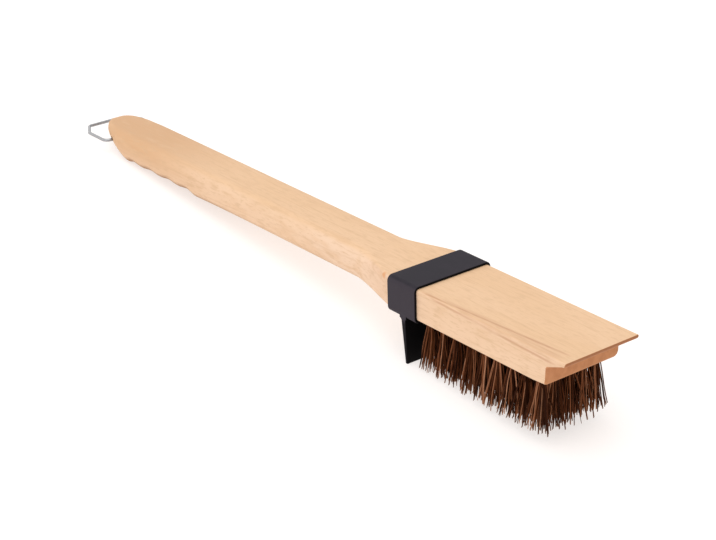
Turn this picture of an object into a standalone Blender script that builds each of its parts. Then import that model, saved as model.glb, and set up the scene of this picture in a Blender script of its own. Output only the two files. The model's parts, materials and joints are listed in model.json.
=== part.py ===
"""A wooden grill brush at its real size, lying on a table on its scraper and the end of its handle.

The brush is drawn in its own frame: x is 0 at the tip of the head and runs back along the handle as a
negative station, z is 0 on the flat top of the wood, and y is 0 on the middle line. Distances back from the
tip are called stations, and distances below the top are called depths. An empty then tips the whole brush
back until the handle touches the table.
"""

import math
import random

import bmesh
import bpy
from mathutils import Matrix, Vector

MM = 0.001

# The plank: one board, shaped into a head, a neck and a grip
WOOD_LENGTH = 449 * MM
HEAD_WIDTH = 50 * MM
HEAD_THICKNESS = 18 * MM
HEAD_TOP_ROUND = 1.6 * MM
HEAD_BOTTOM_ROUND = 2 * MM
NECK_LENGTH = 38.5 * MM
NECK_WIDTH = 35 * MM
NECK_HOLLOW_POWER = 1.2
GRIP_WIDTH = 34.5 * MM
GRIP_THICKNESS = 19 * MM
GRIP_SWELL_POWER = 5
GRIP_TOP_ROUND = 7.5 * MM
GRIP_BOTTOM_ROUND = 5.6 * MM
NOSE_LENGTH = 35.7 * MM
NOSE_UNDERCUT_LENGTH = 38 * MM
NOSE_CROWN_LENGTH = 8 * MM
NOSE_TIP_DEPTH = 3.2 * MM
NOSE_TIP_LEAST = 1.2 * MM

# The thin wooden lip in front of the bristles, and the end of the block under it
LIP_OVERHANG = 14.3 * MM
LIP_EDGE = 2.4 * MM
LIP_ROOT = 7.6 * MM
LIP_FILLET = 2.4 * MM
LIP_BOTTOM_ROUND = 0.8 * MM
LIP_CORNER_ROUND = 1.5 * MM
END_LEAN = 0.3 * MM
END_ROUND = 2.4 * MM
END_CORNER_ROUND = 4 * MM
END_CORNER_RUN = 8 * MM

# Finger grooves under the grip
GROOVE_COUNT = 4
GROOVE_PITCH = 20.4 * MM
GROOVE_DEPTH = 2.1 * MM
GROOVE_RIDGE_SHARE = 0.55
FIRST_GROOVE_FROM_NOSE = 43.4 * MM

# Collar: a sleeve round the head, with the scraper under it
COLLAR_STATION = 112.5 * MM
COLLAR_LENGTH = 22.8 * MM
COLLAR_TOP_WALL = 1.2 * MM
COLLAR_SIDE_WALL = 1.3 * MM
COLLAR_BOTTOM_WALL = 1.4 * MM
COLLAR_CORNER_ROUND = 3.4 * MM
COLLAR_EDGE_ROUND = 0.6 * MM
COLLAR_CLEARANCE = 0.3 * MM
COLLAR_TO_NECK = 1 * MM

# Scraper blade, a wedge as wide as the collar
SCRAPER_TO_COLLAR_FRONT = 7.1 * MM
SCRAPER_HEIGHT = 25.7 * MM
SCRAPER_TOP_THICKNESS = 3.1 * MM
SCRAPER_EDGE_THICKNESS = 1.4 * MM
SCRAPER_LEAN = 1.2 * MM
SCRAPER_REAR_FILLET = 1.6 * MM
SCRAPER_FRONT_FILLET = 0.8 * MM
SCRAPER_SIDE_ROUND = 0.4 * MM
SCRAPER_SIDE_INSET = 0.15 * MM

# Screws that hold the collar from below, behind the scraper
SCREW_TO_HEAD_SIDE = 11 * MM
SCREW_TO_COLLAR_REAR = 5 * MM
SCREW_SHANK_RADIUS = 1.5 * MM
SCREW_SHANK_LENGTH = 11 * MM
SCREW_TIP_LENGTH = 2.2 * MM
SCREW_HEAD_RADIUS = 2.9 * MM
SCREW_HEAD_HEIGHT = 1.7 * MM
SCREW_HEAD_CROWN = 0.5 * MM
SCREW_SLOT_WIDTH = 0.8 * MM
SCREW_SLOT_LENGTH = 3.2 * MM
SCREW_SLOT_DEPTH = 0.9 * MM
SCREW_CLEARANCE = 0.3 * MM

# Bristle tufts, each in its own drilled hole
TUFT_ROWS = 5
TUFT_COLUMNS = 9
TUFT_TO_HEAD_SIDE = 7 * MM
TUFT_TO_BLOCK_END = 9.7 * MM
TUFT_TO_COLLAR = 4.5 * MM
TUFT_HOLE_DEPTH = 11 * MM
TUFT_ROOT_RADIUS = 2.5 * MM
TUFT_ROOT_GRID = 3.8 * MM
TUFT_ROOT_PROUD = 0.3 * MM
TUFT_CLEARANCE = 0.3 * MM
STRANDS_ACROSS = 3
STRAND_INSET = 0.17 * MM
STRAND_TIP_WIDTH = 0.8 * MM
BRISTLE_LENGTH = 28 * MM
BRISTLE_RAGGED = 1.5 * MM
BRISTLE_TO_BLOCK_END = 6.2 * MM
BRISTLE_TO_COLLAR = 2 * MM
BRISTLE_TO_HEAD_SIDE = 2 * MM
BRISTLE_STRAY = 0.8 * MM

# Hanging loop of bent wire, in a hole across the nose
WIRE_RADIUS = 1 * MM
LOOP_HOLE_TO_TIP = 19 * MM
LOOP_HOLE_DEPTH = 7.5 * MM
LOOP_HOLE_CLEARANCE = 0.3 * MM
LOOP_ARM_CLEARANCE = 3.6 * MM
LOOP_END_IN_WOOD = 7 * MM
LOOP_REACH = 31 * MM
LOOP_BEND_RADIUS = 4 * MM
LOOP_SHOULDER_RUN = 11 * MM
LOOP_SHOULDER_RISE = 6.5 * MM
LOOP_CORNER_RADIUS = 3 * MM

# Steps that set how finely the curves are cut
CORNER_STEPS = 4
ARC_STEPS = 4
NECK_STEPS = 9
GRIP_STEPS = 4
GROOVE_STEPS = 6
NOSE_STEPS = 9
HOLE_SIDES = 10
SCREW_SIDES = 16
WIRE_BEVEL_RESOLUTION = 2
EDGE_BEVEL_RESOLUTION = 1

OVERRUN = 5 * MM
WELD_DISTANCE = 0.001 * MM
SMOOTH_ANGLE = math.radians(35)
BRISTLE_SEED = 7

COLLAR_REAR = COLLAR_STATION + COLLAR_LENGTH
HEAD_LENGTH = COLLAR_REAR + COLLAR_TO_NECK
NECK_END = HEAD_LENGTH + NECK_LENGTH
NOSE_STATION = WOOD_LENGTH - NOSE_LENGTH
GROOVES_END = WOOD_LENGTH - FIRST_GROOVE_FROM_NOSE + GROOVE_PITCH / 2
GROOVES_START = GROOVES_END - GROOVE_COUNT * GROOVE_PITCH
LOOP_HOLE_STATION = WOOD_LENGTH - LOOP_HOLE_TO_TIP
COLLAR_HALF_WIDTH = HEAD_WIDTH / 2 + COLLAR_CLEARANCE + COLLAR_SIDE_WALL
STRAP_DEPTH = HEAD_THICKNESS + COLLAR_CLEARANCE + COLLAR_BOTTOM_WALL
SCRAPER_STATION = COLLAR_STATION + SCRAPER_TO_COLLAR_FRONT
SCRAPER_REACH = STRAP_DEPTH + SCRAPER_HEIGHT
FIRST_TUFT_STATION = LIP_OVERHANG + TUFT_TO_BLOCK_END
LAST_TUFT_STATION = COLLAR_STATION - TUFT_TO_COLLAR
OUTER_TUFT_Y = HEAD_WIDTH / 2 - TUFT_TO_HEAD_SIDE
BRISTLE_REACH = HEAD_THICKNESS + BRISTLE_LENGTH
BRISTLE_FRONT_STATION = LIP_OVERHANG + BRISTLE_TO_BLOCK_END
BRISTLE_REAR_STATION = COLLAR_STATION - BRISTLE_TO_COLLAR
BRISTLE_SPREAD = HEAD_WIDTH - 2 * BRISTLE_TO_HEAD_SIDE

WOOD_COLOUR = (0.80, 0.53, 0.31, 1)
PLASTIC_COLOUR = (0.028, 0.026, 0.032, 1)
FIBRE_COLOUR = (0.10, 0.045, 0.025, 1)
STEEL_COLOUR = (0.55, 0.55, 0.56, 1)


def material(name, colour, roughness, metallic):
    made = bpy.data.materials.new(name)
    made.use_nodes = True
    shader = made.node_tree.nodes["Principled BSDF"]
    shader.inputs["Base Color"].default_value = colour
    shader.inputs["Roughness"].default_value = roughness
    shader.inputs["Metallic"].default_value = metallic
    made.diffuse_color = colour
    return made


def mix(low, high, share):
    return low + (high - low) * share


def ease(share):
    """0 to 1 with no slope at either end."""
    share = min(max(share, 0), 1)
    return share * share * (3 - 2 * share)


def arc(centre, radius, start, end, steps=ARC_STEPS):
    """Points on an arc in a plane, from one angle to another in degrees."""
    angles = [math.radians(mix(start, end, k / steps)) for k in range(steps + 1)]
    return [(centre[0] + radius * math.cos(a), centre[1] + radius * math.sin(a)) for a in angles]


def rounded_section(half, top, bottom, top_round, bottom_round):
    """A rounded rectangle as (y, z) points, anticlockwise from the +Y side."""
    room = min(half, (top - bottom) / 2)
    upper = min(top_round, room)
    lower = min(bottom_round, room)
    points = arc((half - upper, top - upper), upper, 0, 90, CORNER_STEPS)
    points += arc((upper - half, top - upper), upper, 90, 180, CORNER_STEPS)
    points += arc((lower - half, bottom + lower), lower, 180, 270, CORNER_STEPS)
    points += arc((half - lower, bottom + lower), lower, 270, 360, CORNER_STEPS)
    return points


def object_from(name, mesh, collection, parent=None):
    made = bpy.data.objects.new(name, mesh)
    collection.objects.link(made)
    made.parent = parent
    return made


def mesh_from(name, working):
    bmesh.ops.recalc_face_normals(working, faces=working.faces)
    mesh = bpy.data.meshes.new(name)
    working.to_mesh(mesh)
    working.free()
    return mesh


def shade(made, surface):
    made.data.materials.clear()
    made.data.materials.append(surface)
    made.data.shade_smooth()
    made.data.set_sharp_from_angle(angle=SMOOTH_ANGLE)


def loft(name, rings):
    """A closed skin through rings of equally many points, with a flat cap at each end."""
    working = bmesh.new()
    loops = [[working.verts.new(point) for point in ring] for ring in rings]
    count = len(loops[0])
    for near, far in zip(loops, loops[1:]):
        for k in range(count):
            after = (k + 1) % count
            working.faces.new((near[k], near[after], far[after], far[k]))
    working.faces.new(loops[0])
    working.faces.new(reversed(loops[-1]))
    bmesh.ops.remove_doubles(working, verts=working.verts, dist=WELD_DISTANCE)
    return mesh_from(name, working)


def flat_outline(name, outline, half_length, edge_round):
    """A 2D curve of a closed outline, extruded both ways, with its edges rounded."""
    curve = bpy.data.curves.new(name, "CURVE")
    curve.dimensions = "2D"
    curve.fill_mode = "BOTH"
    curve.extrude = half_length - edge_round
    curve.bevel_depth = edge_round
    curve.offset = -edge_round
    curve.bevel_resolution = EDGE_BEVEL_RESOLUTION
    spline = curve.splines.new("POLY")
    spline.points.add(len(outline) - 1)
    for point, (across, up) in zip(spline.points, outline):
        point.co = (across, up, 0, 1)
    spline.use_cyclic_u = True
    return curve


def wire_curve(name, points, radius):
    curve = bpy.data.curves.new(name, "CURVE")
    curve.dimensions = "3D"
    curve.bevel_depth = radius
    curve.bevel_resolution = WIRE_BEVEL_RESOLUTION
    curve.use_fill_caps = True
    spline = curve.splines.new("POLY")
    spline.points.add(len(points) - 1)
    for point, place in zip(spline.points, points):
        point.co = (*place, 1)
    return curve


def curve_to_mesh(made):
    """Replaces a curve object with a welded mesh object of the same name and place."""
    bpy.context.view_layer.update()
    graph = bpy.context.evaluated_depsgraph_get()
    mesh = bpy.data.meshes.new_from_object(made.evaluated_get(graph))
    working = bmesh.new()
    working.from_mesh(mesh)
    bmesh.ops.remove_doubles(working, verts=working.verts, dist=WELD_DISTANCE)
    bmesh.ops.recalc_face_normals(working, faces=working.faces)
    working.to_mesh(mesh)
    working.free()
    name, collection = made.name, made.users_collection[0]
    parent, place = made.parent, made.matrix_world.copy()
    bpy.data.objects.remove(made)
    solid = object_from(name, mesh, collection, parent)
    solid.matrix_world = place
    return solid


def as_cutter(made):
    made.hide_render = True
    made.display_type = "WIRE"
    return made


def cut(target, cutter, operation="DIFFERENCE"):
    modifier = target.modifiers.new(cutter.name, "BOOLEAN")
    modifier.operation = operation
    modifier.object = cutter
    modifier.solver = "EXACT"


def drill(working, centre, axis, radius, length):
    """Adds a closed drill to a bmesh, centred on a point, along an axis."""
    turn = Vector((0, 0, 1)).rotation_difference(axis).to_matrix().to_4x4()
    bmesh.ops.create_cone(
        working,
        cap_ends=True,
        segments=HOLE_SIDES,
        radius1=radius,
        radius2=radius,
        depth=length,
        matrix=Matrix.Translation(centre) @ turn,
    )


# The plank's outline, as functions of the station


def half_width(station):
    if station <= HEAD_LENGTH:
        return HEAD_WIDTH / 2
    if station <= NECK_END:
        left = max(1 - (station - HEAD_LENGTH) / NECK_LENGTH, 0)
        return mix(NECK_WIDTH, HEAD_WIDTH, left**NECK_HOLLOW_POWER) / 2
    if station <= NOSE_STATION:
        share = (station - NECK_END) / (NOSE_STATION - NECK_END)
        return mix(NECK_WIDTH, GRIP_WIDTH, share) / 2
    share = min((station - NOSE_STATION) / NOSE_LENGTH, 1)
    return max(GRIP_WIDTH / 2 * math.sqrt(1 - share * share), NOSE_TIP_LEAST)


def loop_half_width():
    """From the middle line to the middle of the loop's wire, clear of the nose at its hole."""
    return half_width(LOOP_HOLE_STATION) + LOOP_ARM_CLEARANCE + WIRE_RADIUS


def groove(station):
    """How far the finger grooves rise into the underside, with low ridges between them."""
    if station <= GROOVES_START or station >= GROOVES_END:
        return 0
    turns = (GROOVES_END - station) / GROOVE_PITCH
    between = 1 / 2 <= turns <= GROOVE_COUNT - 1 / 2
    ridge = GROOVE_RIDGE_SHARE if between else 0
    return GROOVE_DEPTH * mix(ridge, 1, (1 - math.cos(2 * math.pi * turns)) / 2)


def underside(station):
    """The depth of the plank's underside, behind the head's end."""
    along_grip = (station - NECK_END) / (GROOVES_START - NECK_END)
    swell = min(max(along_grip, 0), 1) ** GRIP_SWELL_POWER
    depth = mix(HEAD_THICKNESS, GRIP_THICKNESS, swell) - groove(station)
    share = 1 - min((WOOD_LENGTH - station) / NOSE_UNDERCUT_LENGTH, 1)
    return mix(depth, NOSE_TIP_DEPTH + NOSE_TIP_LEAST, share)


def crown(station):
    """The depth of the plank's top, 0 but for the rounded nose."""
    share = 1 - min((WOOD_LENGTH - station) / NOSE_CROWN_LENGTH, 1)
    return (NOSE_TIP_DEPTH - NOSE_TIP_LEAST) * (1 - math.sqrt(1 - share * share))


def lip_sections():
    """Station, crown depth, underside depth and lower corner of the lip and the block's end."""
    nib = LIP_EDGE / 2
    sections = []
    for share in (0.25, 0.6, 1):
        turn = math.pi / 2 * share
        thick = nib * math.sin(turn)
        sections.append((nib * (1 - math.cos(turn)), nib - thick, nib + thick, LIP_BOTTOM_ROUND))
    slope = math.atan2(LIP_ROOT - LIP_EDGE, LIP_OVERHANG)
    centre_station = LIP_OVERHANG - LIP_FILLET
    centre_depth = LIP_EDGE + centre_station * math.tan(slope) + LIP_FILLET / math.cos(slope)
    for station, depth in arc((centre_station, centre_depth), LIP_FILLET, math.degrees(slope) - 90, 0):
        sections.append((station, 0, depth, LIP_BOTTOM_ROUND))
    centre = (LIP_OVERHANG + END_LEAN + END_ROUND, HEAD_THICKNESS - END_ROUND)
    for station, depth in arc(centre, END_ROUND, 180, 90):
        sections.append((station, 0, depth, END_CORNER_ROUND))
    return sections


def lip_half_width(station):
    """Half the lip's width, a little less at its rounded tip corners."""
    left = max(1 - station / LIP_CORNER_ROUND, 0)
    return HEAD_WIDTH / 2 - LIP_CORNER_ROUND * (1 - math.sqrt(1 - left * left))


def plank_rings():
    rings = []
    for station, top, bottom, corner in lip_sections():
        section = rounded_section(lip_half_width(station), -top, -bottom, HEAD_TOP_ROUND, corner)
        rings.append([(-station, y, z) for y, z in section])
    for station in handle_stations():
        section = handle_section(station)
        rings.append([(-station, y, z) for y, z in section])
    return rings


def handle_stations():
    """Where the plank has a section, from behind the block's end to the nose."""
    stations = [LIP_OVERHANG + END_LEAN + END_ROUND + END_CORNER_RUN, HEAD_LENGTH]
    stations += [mix(HEAD_LENGTH, NECK_END, k / NECK_STEPS) for k in range(1, NECK_STEPS + 1)]
    stations += [mix(NECK_END, GROOVES_START, k / GRIP_STEPS) for k in range(1, GRIP_STEPS)]
    steps = GROOVE_COUNT * GROOVE_STEPS
    stations += [mix(GROOVES_START, GROOVES_END, k / steps) for k in range(steps + 1)]
    first = math.asin(max(GROOVES_END - NOSE_STATION, 0) / NOSE_LENGTH)
    turns = [mix(first, math.pi / 2, k / NOSE_STEPS) for k in range(1, NOSE_STEPS + 1)]
    stations += [NOSE_STATION + NOSE_LENGTH * math.sin(turn) for turn in turns]
    return stations


def handle_section(station):
    change = ease((station - HEAD_LENGTH) / NECK_LENGTH)
    return rounded_section(
        half_width(station),
        -crown(station),
        -underside(station),
        mix(HEAD_TOP_ROUND, GRIP_TOP_ROUND, change),
        mix(HEAD_BOTTOM_ROUND, GRIP_BOTTOM_ROUND, change),
    )


def tuft_places():
    """The name, station and y of each tuft's hole."""
    for row in range(TUFT_ROWS):
        for column in range(TUFT_COLUMNS):
            station = mix(FIRST_TUFT_STATION, LAST_TUFT_STATION, column / (TUFT_COLUMNS - 1))
            y = mix(-OUTER_TUFT_Y, OUTER_TUFT_Y, row / (TUFT_ROWS - 1))
            yield row, column, station, y


def screw_places():
    station = COLLAR_REAR - SCREW_TO_COLLAR_REAR
    return [(station, side * (HEAD_WIDTH / 2 - SCREW_TO_HEAD_SIDE)) for side in (-1, 1)]


def make_plank(parts, cutters, brush):
    plank = object_from("wood_handle", loft("wood_handle", plank_rings()), parts, brush)
    shade(plank, material("light_wood", WOOD_COLOUR, 0.5, 0))

    drills = bmesh.new()
    up = Vector((0, 0, 1))
    length = TUFT_HOLE_DEPTH + OVERRUN
    for _, _, station, y in tuft_places():
        centre = (-station, y, length / 2 - HEAD_THICKNESS - OVERRUN)
        drill(drills, centre, up, TUFT_ROOT_RADIUS + TUFT_CLEARANCE, length)
    pilot = screw_seat() + SCREW_SHANK_LENGTH + SCREW_CLEARANCE + HEAD_THICKNESS
    for station, y in screw_places():
        centre = (-station, y, (pilot - OVERRUN) / 2 - HEAD_THICKNESS)
        drill(drills, centre, up, SCREW_SHANK_RADIUS + SCREW_CLEARANCE, pilot + OVERRUN)
    centre = (-LOOP_HOLE_STATION, 0, -LOOP_HOLE_DEPTH)
    across = GRIP_WIDTH + OVERRUN
    drill(drills, centre, Vector((0, 1, 0)), WIRE_RADIUS + LOOP_HOLE_CLEARANCE, across)
    holes = as_cutter(object_from("drilled_holes", mesh_from("drilled_holes", drills), cutters, brush))
    cut(plank, holes)
    return plank


def screw_seat():
    """The height of the screw head's seat, under the collar's lower strap."""
    return -STRAP_DEPTH - SCREW_CLEARANCE


def sleeve_outline():
    """The sleeve's outer outline as (y, z)."""
    top = COLLAR_CLEARANCE + COLLAR_TOP_WALL
    return rounded_section(COLLAR_HALF_WIDTH, top, -STRAP_DEPTH, COLLAR_CORNER_ROUND, COLLAR_CORNER_ROUND)


def passage_outline():
    """The outline of the sleeve's opening as (y, z), round the head with a clearance."""
    clear = COLLAR_CLEARANCE
    return rounded_section(
        HEAD_WIDTH / 2 + clear,
        clear,
        -HEAD_THICKNESS - clear,
        HEAD_TOP_ROUND + clear,
        HEAD_BOTTOM_ROUND + clear,
    )


def scraper_outline():
    """The blade's side view as (x, z), from inside the sleeve down to its edge, with a fillet on each face."""
    root = -STRAP_DEPTH
    inside = root + COLLAR_CORNER_ROUND
    front_top = -SCRAPER_STATION - SCRAPER_LEAN
    rear_top = front_top - SCRAPER_TOP_THICKNESS
    front_edge = -SCRAPER_STATION
    rear_edge = front_edge - SCRAPER_EDGE_THICKNESS
    front = arc(
        (front_top + SCRAPER_FRONT_FILLET, root - SCRAPER_FRONT_FILLET), SCRAPER_FRONT_FILLET, 180, 90
    )
    rear = arc((rear_top - SCRAPER_REAR_FILLET, root - SCRAPER_REAR_FILLET), SCRAPER_REAR_FILLET, 90, 0)
    points = [(front_edge, -SCRAPER_REACH)] + front
    points += [(front[-1][0], inside), (rear[0][0], inside)] + rear
    points.append((rear_edge, -SCRAPER_REACH))
    return points


def make_collar(parts, cutters, brush):
    along = Matrix(((0, 0, 1, 0), (1, 0, 0, 0), (0, 1, 0, 0), (0, 0, 0, 1)))
    middle = Matrix.Translation((-COLLAR_STATION - COLLAR_LENGTH / 2, 0, 0)) @ along
    sleeve_curve = flat_outline("scraper_collar", sleeve_outline(), COLLAR_LENGTH / 2, COLLAR_EDGE_ROUND)
    sleeve = object_from("scraper_collar", sleeve_curve, parts, brush)
    sleeve.matrix_local = middle
    sleeve = curve_to_mesh(sleeve)

    blade_half_width = COLLAR_HALF_WIDTH - SCRAPER_SIDE_INSET
    blade_curve = flat_outline("blade", scraper_outline(), blade_half_width, SCRAPER_SIDE_ROUND)
    blade = object_from("blade", blade_curve, cutters, brush)
    blade.matrix_local = Matrix(((1, 0, 0, 0), (0, 0, -1, 0), (0, 1, 0, 0), (0, 0, 0, 1)))
    blade = as_cutter(curve_to_mesh(blade))
    cut(sleeve, blade, "UNION")

    passage_curve = flat_outline("passage", passage_outline(), COLLAR_LENGTH / 2 + OVERRUN, 0)
    passage = object_from("passage", passage_curve, cutters, brush)
    passage.matrix_local = middle
    cut(sleeve, as_cutter(curve_to_mesh(passage)))

    drills = bmesh.new()
    for station, y in screw_places():
        centre = (-station, y, -STRAP_DEPTH + COLLAR_BOTTOM_WALL / 2)
        drill(drills, centre, Vector((0, 0, 1)), SCREW_SHANK_RADIUS + SCREW_CLEARANCE, OVERRUN)
    holes = as_cutter(object_from("strap_holes", mesh_from("strap_holes", drills), cutters, brush))
    cut(sleeve, holes)
    shade(sleeve, material("black_plastic", PLASTIC_COLOUR, 0.55, 0))
    return sleeve


def screw_profile():
    """Half of the screw's side view as (radius, height), from its point down to its head."""
    neck = SCREW_SHANK_LENGTH
    flat = -SCREW_HEAD_HEIGHT
    return [
        (0, neck),
        (SCREW_SHANK_RADIUS, neck - SCREW_TIP_LENGTH),
        (SCREW_SHANK_RADIUS, 0),
        (SCREW_HEAD_RADIUS, 0),
        (SCREW_HEAD_RADIUS, flat + SCREW_HEAD_CROWN),
        (SCREW_HEAD_RADIUS - SCREW_HEAD_CROWN, flat),
        (0, flat),
    ]


def make_screws(parts, cutters, brush):
    steel = material("screw_steel", STEEL_COLOUR, 0.35, 1)
    for number, (station, y) in enumerate(screw_places(), 1):
        profile = bmesh.new()
        points = [profile.verts.new((radius, 0, height)) for radius, height in screw_profile()]
        for above, below in zip(points, points[1:]):
            profile.edges.new((above, below))
        mesh = bpy.data.meshes.new(f"collar_screw_{number}")
        profile.to_mesh(mesh)
        profile.free()
        screw = object_from(f"collar_screw_{number}", mesh, parts, brush)
        screw.location = (-station, y, screw_seat())
        turn = screw.modifiers.new("turned", "SCREW")
        turn.steps = turn.render_steps = SCREW_SIDES
        turn.use_merge_vertices = True
        turn.merge_threshold = WELD_DISTANCE
        slots = bmesh.new()
        for angle in (0, math.pi / 2):
            size = (SCREW_SLOT_LENGTH, SCREW_SLOT_WIDTH, SCREW_SLOT_DEPTH * 2)
            place = Matrix.Rotation(angle, 4, "Z") @ Matrix.Diagonal((*size, 1))
            bmesh.ops.create_cube(slots, size=1, matrix=place)
            recess = object_from(
                f"screw_slot_{number}_{round(math.degrees(angle))}",
                mesh_from("screw_slot", slots),
                cutters,
                brush,
            )
            recess.location = (-station, y, screw_seat() - SCREW_HEAD_HEIGHT)
            cut(screw, as_cutter(recess))
            slots = bmesh.new()
        slots.free()
        screw.data.materials.append(steel)


def strand_tip(row, column, across, along, stray):
    """Where a strand ends: a place on an even lattice over the whole bristle field, a little astray."""
    last_along = TUFT_COLUMNS * STRANDS_ACROSS - 1
    last_across = TUFT_ROWS * STRANDS_ACROSS - 1
    share_along = (column * STRANDS_ACROSS + along) / last_along
    share_across = (row * STRANDS_ACROSS + across) / last_across
    return Vector((
        -mix(BRISTLE_FRONT_STATION, BRISTLE_REAR_STATION, share_along) + stray.uniform(-1, 1) * BRISTLE_STRAY,
        (share_across - 1 / 2) * BRISTLE_SPREAD + stray.uniform(-1, 1) * BRISTLE_STRAY,
        -BRISTLE_REACH + stray.random() * BRISTLE_RAGGED,
    ))


def make_tuft(row, column, station, y, stray):
    """A tuft's root with its strands, in the frame of its hole's mouth."""
    mouth = Vector((-station, y, -HEAD_THICKNESS))
    working = bmesh.new()
    bmesh.ops.create_grid(
        working, x_segments=STRANDS_ACROSS, y_segments=STRANDS_ACROSS, size=TUFT_ROOT_GRID / 2
    )
    for vertex in working.verts:
        if vertex.is_boundary:
            vertex.co *= TUFT_ROOT_RADIUS / vertex.co.length
        vertex.co.z = -TUFT_ROOT_PROUD
    lower = list(working.faces)
    grown = bmesh.ops.extrude_face_region(working, geom=lower, use_keep_orig=True)["geom"]
    upper = [item for item in grown if isinstance(item, bmesh.types.BMFace)]
    raised = {vertex for face in upper for vertex in face.verts}
    for vertex in raised:
        vertex.co.z = TUFT_HOLE_DEPTH - TUFT_CLEARANCE
    bmesh.ops.dissolve_faces(working, faces=upper, use_verts=True)
    bmesh.ops.recalc_face_normals(working, faces=working.faces)
    bmesh.ops.inset_individual(working, faces=lower, thickness=STRAND_INSET)
    strands = bmesh.ops.extrude_discrete_faces(working, faces=lower)["faces"]
    pitch = TUFT_ROOT_GRID / STRANDS_ACROSS
    for face in strands:
        root = face.calc_center_median()
        along = round(-root.x / pitch) + STRANDS_ACROSS // 2
        across = round(root.y / pitch) + STRANDS_ACROSS // 2
        tip = strand_tip(row, column, across, along, stray) - mouth
        width = math.sqrt(face.calc_area())
        for vertex in face.verts:
            offset = (vertex.co - root) * (STRAND_TIP_WIDTH / width)
            vertex.co = tip + offset
    return mesh_from(f"tuft_r{row + 1}_c{column + 1}", working)


def make_tufts(parts, brush):
    fibre = material("brown_fibre", FIBRE_COLOUR, 0.7, 0)
    stray = random.Random(BRISTLE_SEED)
    for row, column, station, y in tuft_places():
        mesh = make_tuft(row, column, station, y, stray)
        tuft = object_from(mesh.name, mesh, parts, brush)
        tuft.location = (-station, y, -HEAD_THICKNESS)
        tuft.data.materials.append(fibre)


def loop_path():
    """The wire's middle line in the frame of its hole, from one end in the wood round to the other."""
    bend, corner, arm = LOOP_BEND_RADIUS, LOOP_CORNER_RADIUS, loop_half_width()
    lean = math.atan2(LOOP_SHOULDER_RISE, LOOP_SHOULDER_RUN)
    onto_shoulder = LOOP_SHOULDER_RUN - LOOP_REACH + corner * math.tan(lean / 2)
    off_shoulder = arm - LOOP_SHOULDER_RISE - corner * math.tan(math.pi / 4 - lean / 2)
    turn = 90 + math.degrees(lean)
    half = [(0, LOOP_END_IN_WOOD)]
    half += arc((-bend, arm - bend), bend, 0, 90)
    half += arc((onto_shoulder, arm - corner), corner, 90, turn)
    half += arc((corner - LOOP_REACH, off_shoulder), corner, turn, 180)
    far = [(x, -y, 0) for x, y in half]
    near = [(x, y, 0) for x, y in reversed(half)]
    return far + near


def make_loop(parts, brush):
    pivot = bpy.data.objects.new("hang_loop_pivot", None)
    parts.objects.link(pivot)
    pivot.parent = brush
    pivot.location = (-LOOP_HOLE_STATION, 0, -LOOP_HOLE_DEPTH)
    loop = object_from("hang_loop", wire_curve("hang_loop", loop_path(), WIRE_RADIUS), parts, pivot)
    loop.data.materials.append(material("wire_steel", STEEL_COLOUR, 0.35, 1))


def front_supports():
    """The station and depth of what the head can stand on: the scraper's edge and the last bristles."""
    edge = (SCRAPER_STATION + SCRAPER_EDGE_THICKNESS, SCRAPER_REACH)
    bristles = (BRISTLE_REAR_STATION + BRISTLE_STRAY, BRISTLE_REACH)
    return edge, bristles


def slope_to_underside(support):
    """The slope of the line from a support that just touches the grip's underside."""
    station, depth = support
    grip = [place for place in handle_stations() if place > NECK_END]
    return min((depth - underside(place)) / (place - station) for place in grip)


def rest_pitch():
    """How far the brush tips back, until its underside touches the table."""
    return math.atan(max(slope_to_underside(support) for support in front_supports()))


def make_brush_frame(parts):
    """An empty that carries the brush's own frame, with the whole part centred over the origin."""
    pitch = rest_pitch()
    loop_end = -LOOP_HOLE_STATION - LOOP_REACH
    rear = loop_end * math.cos(pitch) + LOOP_HOLE_DEPTH * math.sin(pitch) - WIRE_RADIUS
    front = LIP_EDGE / 2 * math.sin(pitch)
    low = min(
        -station * math.sin(pitch) - depth * math.cos(pitch) for station, depth in front_supports()
    )
    brush = bpy.data.objects.new("brush_frame", None)
    parts.objects.link(brush)
    brush.location = (-(front + rear) / 2, 0, -low)
    brush.rotation_euler = (0, -pitch, 0)
    return brush


def main():
    for leftover in list(bpy.data.objects):
        bpy.data.objects.remove(leftover)
    parts = bpy.data.collections.new("grill_brush")
    cutters = bpy.data.collections.new("cutters")
    bpy.context.scene.collection.children.link(parts)
    bpy.context.scene.collection.children.link(cutters)
    brush = make_brush_frame(parts)
    bpy.context.view_layer.update()
    make_plank(parts, cutters, brush)
    make_collar(parts, cutters, brush)
    make_screws(parts, cutters, brush)
    make_tufts(parts, brush)
    make_loop(parts, brush)


main()
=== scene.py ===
"""The looks of the wooden grill brush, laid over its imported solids.

Every piece is drawn in the brush's own frame, as its solids are: x is 0 at the tip of the head and runs back
along the handle as a negative station, z is 0 on the flat top of the wood, and y is 0 on the middle line.
Distances back from the tip are stations and distances below the top are depths, all in metres.
"""

import json
import math
import random

import bmesh
import bpy
from mathutils import Matrix, Vector


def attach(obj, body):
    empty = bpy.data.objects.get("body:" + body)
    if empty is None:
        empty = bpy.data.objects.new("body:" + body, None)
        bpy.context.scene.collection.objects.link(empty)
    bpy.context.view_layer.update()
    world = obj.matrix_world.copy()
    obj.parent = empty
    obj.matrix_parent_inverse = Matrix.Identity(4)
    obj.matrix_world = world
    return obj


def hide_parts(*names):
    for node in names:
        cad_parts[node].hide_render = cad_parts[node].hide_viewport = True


MM = 0.001

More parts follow.
